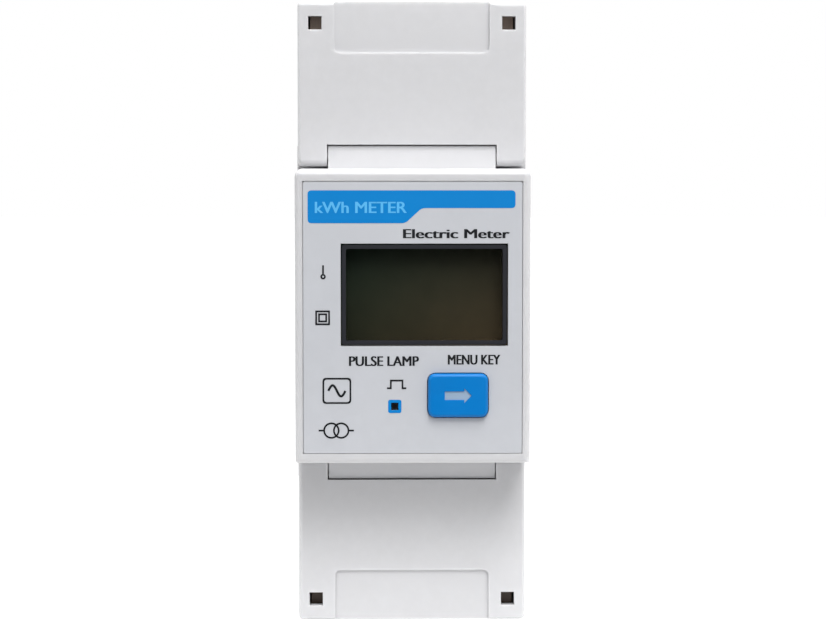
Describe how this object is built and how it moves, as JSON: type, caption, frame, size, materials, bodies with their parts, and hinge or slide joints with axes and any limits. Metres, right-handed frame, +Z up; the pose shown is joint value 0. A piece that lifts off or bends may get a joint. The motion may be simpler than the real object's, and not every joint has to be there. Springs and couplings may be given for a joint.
{
  "type": "smart electric meter",
  "caption": "Slim rail-mounted electric meter with a raised display panel, a blue menu button and hinged terminal covers above and below.",
  "frame": {"origin": "middle of the flat seat that rests on the front of the mounting rail", "axes": "+Y points back into the rail, +Z is up the meter, +X is to the right of someone reading the display"},
  "size_m": [0.036, 0.0663, 0.097],
  "materials": {
    "housing_plastic": "fine satin moulded texture, light warm grey",
    "label_film": "smooth satin printed film, pale grey",
    "bezel_dark": "satin slate frame",
    "window_clear": "clear gloss",
    "lcd_glass": "gloss, switched-off dark green grey",
    "white_diffuser": "matt milky white",
    "rubber_dark": "matt",
    "board_green": "satin solder mask",
    "steel": "zinc plated, satin",
    "button_blue": "satin moulded, bright blue",
    "chip_black": "matt moulded",
    "clip_plastic": "matt moulded, dark grey",
    "led_clear": "clear red resin",
    "lens_dark": "gloss black",
    "ferrite": "matt, laminated",
    "coil_tape": "smooth yellow tape",
    "capacitor_sleeve": "smooth shrunk sleeve",
    "varistor_blue": "dipped resin",
    "ceramic_cream": "matt ceramic",
    "film_capacitor": "moulded box",
    "terminal_brown": "matt phenolic moulding, brown grey",
    "brass": "satin, lightly tarnished"
  },
  "bodies": {
    "root": {"rear_housing": "housing_plastic", "front_housing": "housing_plastic", "front_overlay": "label_film", "display_bezel": "bezel_dark", "display_window": "window_clear", "lcd_panel": "lcd_glass", "lcd_backlight": "white_diffuser", "lcd_connector": "rubber_dark", "display_board": "board_green", "board_screw_left": "steel", "board_screw_right": "steel", "switch_body": "chip_black", "pulse_led": "led_clear", "led_light_pipe": "lens_dark", "main_board": "board_green", "board_header": "chip_black", "transformer_core": "ferrite", "transformer_coil": "coil_tape", "filter_capacitor": "capacitor_sleeve", "mains_varistor": "varistor_blue", "fuse_resistor": "ceramic_cream", "safety_capacitor": "film_capacitor", "metering_chip": "chip_black", "optocoupler_1": "chip_black", "optocoupler_2": "chip_black", "upper_terminal_block": "terminal_brown", "lower_terminal_block": "terminal_brown", "rail_clip_spring": "steel", "line_in_contact": "brass", "line_out_contact": "brass", "sensor_a_contact": "brass", "sensor_b_contact": "brass", "data_a_contact": "brass", "data_b_contact": "brass"},
    "upper_cover": {"upper_terminal_cover": "housing_plastic"},
    "lower_cover": {"lower_terminal_cover": "housing_plastic"},
    "menu_button": {"menu_button": "button_blue"},
    "switch_plunger": {"switch_plunger": "clip_plastic"},
    "rail_clip": {"rail_clip": "clip_plastic"},
    "line_in_screw": {"line_in_screw": "steel"},
    "line_in_cage": {"line_in_cage": "steel"},
    "line_out_screw": {"line_out_screw": "steel"},
    "line_out_cage": {"line_out_cage": "steel"},
    "sensor_a_screw": {"sensor_a_screw": "steel"},
    "sensor_a_cage": {"sensor_a_cage": "steel"},
    "sensor_b_screw": {"sensor_b_screw": "steel"},
    "sensor_b_cage": {"sensor_b_cage": "steel"},
    "data_a_screw": {"data_a_screw": "steel"},
    "data_a_cage": {"data_a_cage": "steel"},
    "data_b_screw": {"data_b_screw": "steel"},
    "data_b_cage": {"data_b_cage": "steel"}
  },
  "joints": [
    {"name": "upper_cover_hinge", "type": "hinge", "parent": "root", "child": "upper_cover", "pos_m": [0, -0.0479, 0.0245], "axis": [1, 0, 0], "range_deg": [0, 90]},
    {"name": "lower_cover_hinge", "type": "hinge", "parent": "root", "child": "lower_cover", "pos_m": [0, -0.0479, -0.0245], "axis": [-1, 0, 0], "range_deg": [0, 90]},
    {"name": "menu_button_press", "type": "slide", "parent": "root", "child": "menu_button", "axis": [0, 1, 0], "range_m": [0, 0.0006], "stiffness_N_per_m": 2500},
    {"name": "switch_plunger_press", "type": "slide", "parent": "root", "child": "switch_plunger", "axis": [0, 1, 0], "range_m": [0, 0.0006]},
    {"name": "rail_clip_slide", "type": "slide", "parent": "root", "child": "rail_clip", "axis": [0, 0, -1], "range_m": [0, 0.0035], "stiffness_N_per_m": 2000, "deforming": ["rail_clip_spring"]},
    {"name": "line_in_screw_turn", "type": "hinge", "parent": "root", "child": "line_in_screw", "pos_m": [-0.008, -0.0363, 0.037], "axis": [0, 1, 0], "range_deg": [0, 2160]},
    {"name": "line_in_cage_rise", "type": "slide", "parent": "root", "child": "line_in_cage", "axis": [0, -1, 0], "range_m": [0, 0.0042]},
    {"name": "line_out_screw_turn", "type": "hinge", "parent": "root", "child": "line_out_screw", "pos_m": [0.008, -0.0363, 0.037], "axis": [0, 1, 0], "range_deg": [0, 2160]},
    {"name": "line_out_cage_rise", "type": "slide", "parent": "root", "child": "line_out_cage", "axis": [0, -1, 0], "range_m": [0, 0.0042]},
    {"name": "sensor_a_screw_turn", "type": "hinge", "parent": "root", "child": "sensor_a_screw", "pos_m": [-0.012, -0.0363, -0.037], "axis": [0, 1, 0], "range_deg": [0, 2160]},
    {"name": "sensor_a_cage_rise", "type": "slide", "parent": "root", "child": "sensor_a_cage", "axis": [0, -1, 0], "range_m": [0, 0.003]},
    {"name": "sensor_b_screw_turn", "type": "hinge", "parent": "root", "child": "sensor_b_screw", "pos_m": [-0.004, -0.0363, -0.037], "axis": [0, 1, 0], "range_deg": [0, 2160]},
    {"name": "sensor_b_cage_rise", "type": "slide", "parent": "root", "child": "sensor_b_cage", "axis": [0, -1, 0], "range_m": [0, 0.003]},
    {"name": "data_a_screw_turn", "type": "hinge", "parent": "root", "child": "data_a_screw", "pos_m": [0.004, -0.0363, -0.037], "axis": [0, 1, 0], "range_deg": [0, 2160]},
    {"name": "data_a_cage_rise", "type": "slide", "parent": "root", "child": "data_a_cage", "axis": [0, -1, 0], "range_m": [0, 0.003]},
    {"name": "data_b_screw_turn", "type": "hinge", "parent": "root", "child": "data_b_screw", "pos_m": [0.012, -0.0363, -0.037], "axis": [0, 1, 0], "range_deg": [0, 2160]},
    {"name": "data_b_cage_rise", "type": "slide", "parent": "root", "child": "data_b_cage", "axis": [0, -1, 0], "range_m": [0, 0.003]}
  ],
  "couplings": [
    {"joint": "switch_plunger_press", "follows": "menu_button_press", "ratio": 1}
  ]
}
